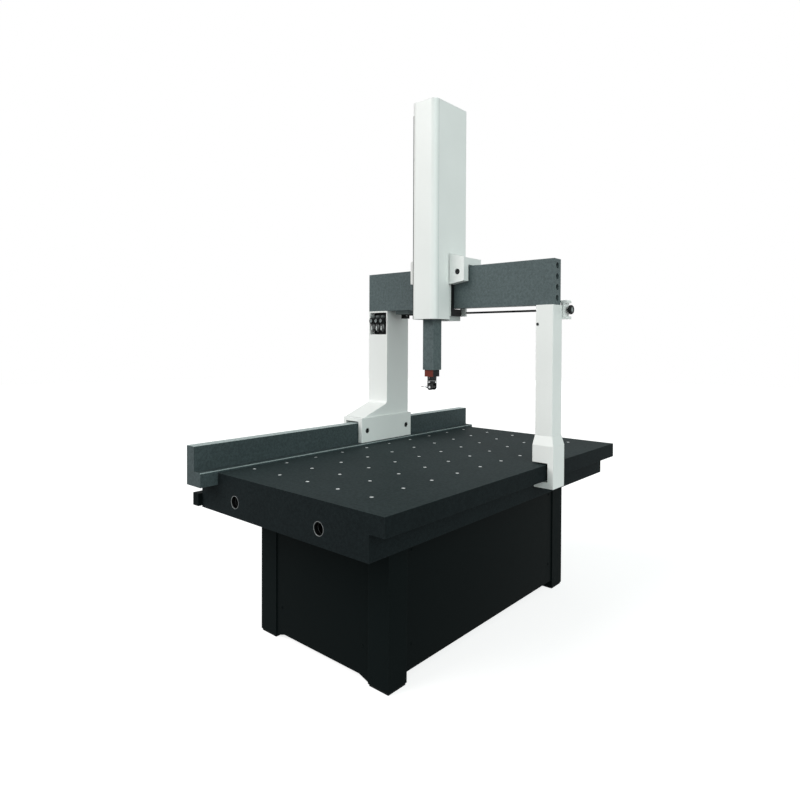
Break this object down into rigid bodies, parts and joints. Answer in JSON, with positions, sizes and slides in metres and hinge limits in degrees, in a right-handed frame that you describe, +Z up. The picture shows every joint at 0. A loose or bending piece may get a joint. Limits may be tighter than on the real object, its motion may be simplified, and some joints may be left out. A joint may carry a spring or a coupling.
{
  "type": "coordinate measuring machine",
  "caption": "Moving bridge coordinate measuring machine: granite table on a panelled stand, white columns, granite beam, covered vertical axis with counterweight and touch probe.",
  "frame": {"origin": "on the floor, below the middle of the machine's bounding box", "axes": "+Z up, +X along the beam away from the guide rail, +Y along the table away from the operator's end"},
  "size_m": [1.357, 2.262, 2.86],
  "materials": {
    "granite_table": "ground granite, satin",
    "granite_beam": "ground granite, satin",
    "white_paint": "smooth satin paint",
    "black_paint": "satin powder coat",
    "black_plastic": "matte",
    "rubber": "matte",
    "belt": "matte",
    "steel": "brushed",
    "screw_steel": "black oxide",
    "aluminium": "satin anodised",
    "red_paint": "satin",
    "ball": "polished ruby",
    "light_grey": "satin",
    "regulator": "moulded"
  },
  "bodies": {
    "base": {"stand_frame": "black_paint", "isolation_pads": "rubber", "stand_panels": "black_paint", "base_screws": "screw_steel", "granite_table": "granite_table", "table_inserts": "steel", "y_guide_rail": "granite_table", "y_scale_tape": "steel", "y_drive_belt": "belt", "y_drive_brackets": "black_paint", "y_drive_motor": "black_plastic"},
    "y_idler_pulley": {"y_idler_pulley": "aluminium"},
    "y_drive_pulley": {"y_drive_pulley": "aluminium"},
    "bridge": {"left_saddle": "white_paint", "left_column": "white_paint", "bridge_air_pads": "aluminium", "bridge_screws": "screw_steel", "granite_beam": "granite_beam", "x_scale_tape": "steel", "right_column": "white_paint", "right_leg": "white_paint", "y_drive_arm": "white_paint", "y_read_head": "black_plastic", "x_drive_belt": "belt", "x_drive_housing": "black_plastic", "x_drive_motor": "black_plastic", "x_tension_bracket": "white_paint", "air_regulators": "regulator"},
    "x_drive_pulley": {"x_drive_pulley": "aluminium"},
    "x_idler_pulley": {"x_idler_pulley": "aluminium"},
    "tension_knob": {"tension_knob": "black_plastic"},
    "regulator_knob_1": {"regulator_knob_1": "regulator"},
    "regulator_knob_2": {"regulator_knob_2": "regulator"},
    "regulator_knob_3": {"regulator_knob_3": "regulator"},
    "carriage": {"carriage_frame": "white_paint", "carriage_air_pads": "aluminium", "wing_pad_screws": "screw_steel", "carriage_bottom_plate": "light_grey", "junction_box": "black_plastic", "x_belt_clamp": "white_paint", "carriage_read_heads": "black_plastic", "z_cover": "white_paint", "ram_guide_blocks": "aluminium", "z_drive_belt": "belt", "z_tower_frame": "aluminium", "z_drive_motor": "black_plastic"},
    "z_lower_pulley": {"z_lower_pulley": "aluminium"},
    "z_upper_pulley": {"z_upper_pulley": "aluminium"},
    "counterweight": {"counterweight": "steel"},
    "ram": {"granite_ram": "granite_beam", "z_scale_tape": "steel", "ram_belt_clamp": "aluminium", "probe_adapter": "black_plastic", "adapter_front_plate": "red_paint", "probe_head_base": "black_plastic"},
    "head_swivel": {"probe_head_swivel": "black_plastic"},
    "head_knuckle": {"probe_knuckle": "aluminium", "touch_probe": "aluminium"},
    "stylus_seat": {"stylus_seat": "steel"},
    "stylus": {"stylus": "ball"}
  },
  "joints": [
    {"name": "bridge_travel", "type": "slide", "parent": "base", "child": "bridge", "axis": [0, 1, 0], "range_m": [-1.03, 0.61]},
    {"name": "carriage_travel", "type": "slide", "parent": "bridge", "child": "carriage", "axis": [1, 0, 0], "range_m": [-0.28, 0.525]},
    {"name": "ram_travel", "type": "slide", "parent": "carriage", "child": "ram", "axis": [0, 0, 1], "range_m": [-0.285, 0.315]},
    {"name": "counterweight_travel", "type": "slide", "parent": "carriage", "child": "counterweight", "axis": [0, 0, 1], "range_m": [-0.315, 0.285]},
    {"name": "z_lower_pulley_spin", "type": "hinge", "parent": "carriage", "child": "z_lower_pulley", "pos_m": [-0.077, 0.193, 2.04], "axis": [1, 0, 0], "range_deg": [-580, 525]},
    {"name": "z_upper_pulley_spin", "type": "hinge", "parent": "carriage", "child": "z_upper_pulley", "pos_m": [-0.077, 0.193, 2.812], "axis": [1, 0, 0], "range_deg": [-580, 525]},
    {"name": "x_drive_pulley_spin", "type": "hinge", "parent": "bridge", "child": "x_drive_pulley", "pos_m": [-0.4685, 0.3345, 1.664], "axis": [0, 0, 1], "range_deg": [-1125, 2110]},
    {"name": "x_idler_pulley_spin", "type": "hinge", "parent": "bridge", "child": "x_idler_pulley", "pos_m": [0.6195, 0.3345, 1.664], "axis": [0, 0, 1], "range_deg": [-1125, 2110]},
    {"name": "y_idler_pulley_spin", "type": "hinge", "parent": "base", "child": "y_idler_pulley", "pos_m": [-0.6435, -1.029, 0.708], "axis": [1, 0, 0], "range_deg": [-1645, 2775]},
    {"name": "y_drive_pulley_spin", "type": "hinge", "parent": "base", "child": "y_drive_pulley", "pos_m": [-0.6435, 1.102, 0.708], "axis": [1, 0, 0], "range_deg": [-1645, 2775]},
    {"name": "head_swivel_turn", "type": "hinge", "parent": "ram", "child": "head_swivel", "pos_m": [-0.077, 0.114, 1.264], "axis": [0, 0, 1], "range_deg": [-180, 180]},
    {"name": "head_tilt", "type": "hinge", "parent": "head_swivel", "child": "head_knuckle", "pos_m": [-0.077, 0.114, 1.23], "axis": [0, 1, 0], "range_deg": [-90, 15]},
    {"name": "stylus_sideways", "type": "hinge", "parent": "head_knuckle", "child": "stylus_seat", "pos_m": [-0.1256, 0.114, 1.23], "axis": [0, 0, 1], "range_deg": [-8, 8], "stiffness_Nm_per_rad": 0.06},
    {"name": "stylus_up_down", "type": "hinge", "parent": "stylus_seat", "child": "stylus", "pos_m": [-0.1256, 0.114, 1.23], "axis": [0, 1, 0], "range_deg": [-8, 8], "stiffness_Nm_per_rad": 0.06},
    {"name": "tension_knob_turn", "type": "hinge", "parent": "bridge", "child": "tension_knob", "pos_m": [0.6695, 0.3345, 1.664], "axis": [1, 0, 0], "range_deg": [-720, 720]},
    {"name": "regulator_knob_1_turn", "type": "hinge", "parent": "bridge", "child": "regulator_knob_1", "pos_m": [-0.64, 0.214, 1.652], "axis": [0, 0, 1], "range_deg": [-540, 540]},
    {"name": "regulator_knob_2_turn", "type": "hinge", "parent": "bridge", "child": "regulator_knob_2", "pos_m": [-0.598, 0.214, 1.652], "axis": [0, 0, 1], "range_deg": [-540, 540]},
    {"name": "regulator_knob_3_turn", "type": "hinge", "parent": "bridge", "child": "regulator_knob_3", "pos_m": [-0.556, 0.214, 1.652], "axis": [0, 0, 1], "range_deg": [-540, 540]}
  ],
  "couplings": [
    {"joint": "counterweight_travel", "follows": "ram_travel", "ratio": -1},
    {"joint": "z_lower_pulley_spin", "follows": "ram_travel", "rad_per_m": -31.949},
    {"joint": "z_upper_pulley_spin", "follows": "ram_travel", "rad_per_m": -31.949},
    {"joint": "x_drive_pulley_spin", "follows": "carriage_travel", "rad_per_m": 69.93},
    {"joint": "x_idler_pulley_spin", "follows": "carriage_travel", "rad_per_m": 69.93},
    {"joint": "y_idler_pulley_spin", "follows": "bridge_travel", "rad_per_m": -46.948},
    {"joint": "y_drive_pulley_spin", "follows": "bridge_travel", "rad_per_m": -46.948}
  ]
}
